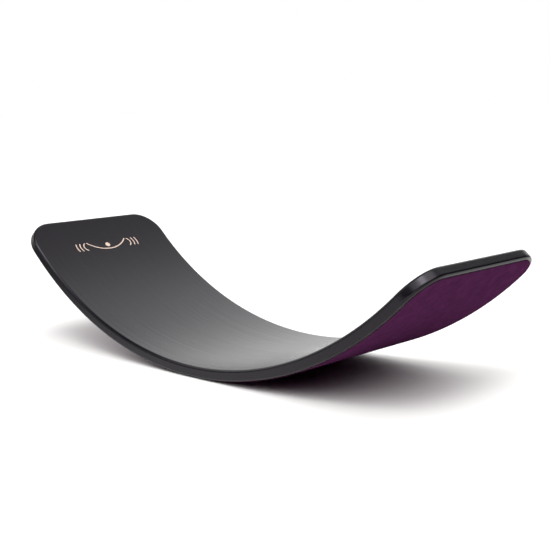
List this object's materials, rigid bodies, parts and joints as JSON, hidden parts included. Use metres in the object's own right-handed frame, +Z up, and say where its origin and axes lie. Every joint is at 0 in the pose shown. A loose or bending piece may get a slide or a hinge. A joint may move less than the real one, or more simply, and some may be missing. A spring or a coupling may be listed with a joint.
{
  "type": "balance board",
  "caption": "Curved rocking balance board pressed from beech veneers, black lacquered, with rounded corners, a pale inlaid mark on the deck and plum felt glued underneath.",
  "frame": {"origin": "bottom centre: the middle of the line on which the felt touches the floor", "axes": "+X along the board towards the end without the mark, +Y across it, +Z up out of the hollow of the deck"},
  "size_m": [0.9, 0.3, 0.2125],
  "materials": {
    "lacquered_beech": "black satin lacquer over beech, the grain faintly showing through",
    "mark_fill": "pale matt filler, wood coloured",
    "adhesive": "translucent self-adhesive film",
    "felt": "pressed wool felt, plum, matt and slightly fuzzy"
  },
  "bodies": {
    "root": {"veneer_01_deck": "lacquered_beech", "veneer_02_cross": "lacquered_beech", "veneer_03_long": "lacquered_beech", "veneer_04_cross": "lacquered_beech", "veneer_05_long": "lacquered_beech", "veneer_06_cross": "lacquered_beech", "veneer_07_long": "lacquered_beech", "veneer_08_cross": "lacquered_beech", "veneer_09_long": "lacquered_beech", "veneer_10_cross": "lacquered_beech", "veneer_11_back": "lacquered_beech", "deck_mark": "mark_fill", "adhesive_film": "adhesive", "felt_underlay": "felt"}
  },
  "joints": []
}
